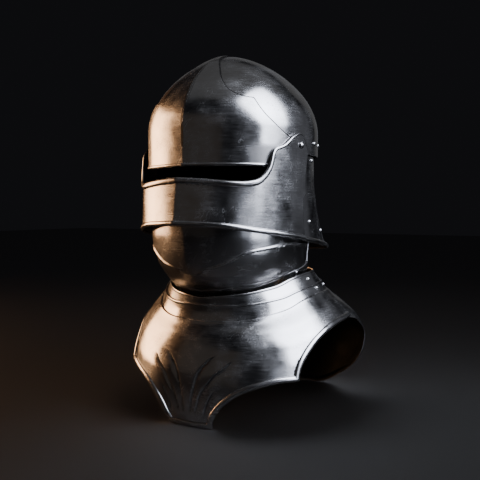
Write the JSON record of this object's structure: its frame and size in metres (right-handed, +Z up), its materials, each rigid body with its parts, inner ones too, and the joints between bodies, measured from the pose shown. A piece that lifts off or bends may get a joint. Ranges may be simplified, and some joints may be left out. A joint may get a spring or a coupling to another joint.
{
  "type": "sallet with bevor",
  "caption": "Late Gothic steel sallet with a pivoted visor and long tail, over a keeled bevor and a laminated gorget with spreading front and back plates.",
  "frame": {"origin": "middle of the whole set's length and width, on the surface it stands on", "axes": "+Z up, the face looks along -Y, +X is the wearer's left"},
  "size_m": [0.295, 0.3345, 0.4777],
  "materials": {
    "steel": "hammered carbon steel, polished bright and lightly scratched"
  },
  "bodies": {
    "armour": {"skull": "steel", "brow_plate": "steel", "tail_plate": "steel", "bevor_plate": "steel", "bevor_throat_lame": "steel", "front_collar_lame": "steel", "front_neck_lame": "steel", "back_collar_lame": "steel", "back_neck_lame": "steel", "front_plate": "steel", "back_plate": "steel", "pivot_left": "steel", "pivot_right": "steel"},
    "visor": {"visor": "steel"}
  },
  "joints": [
    {"name": "visor_hinge", "type": "hinge", "parent": "armour", "child": "visor", "pos_m": [0, -0.051, 0.352], "axis": [-1, 0, 0], "range_deg": [0, 60]}
  ]
}
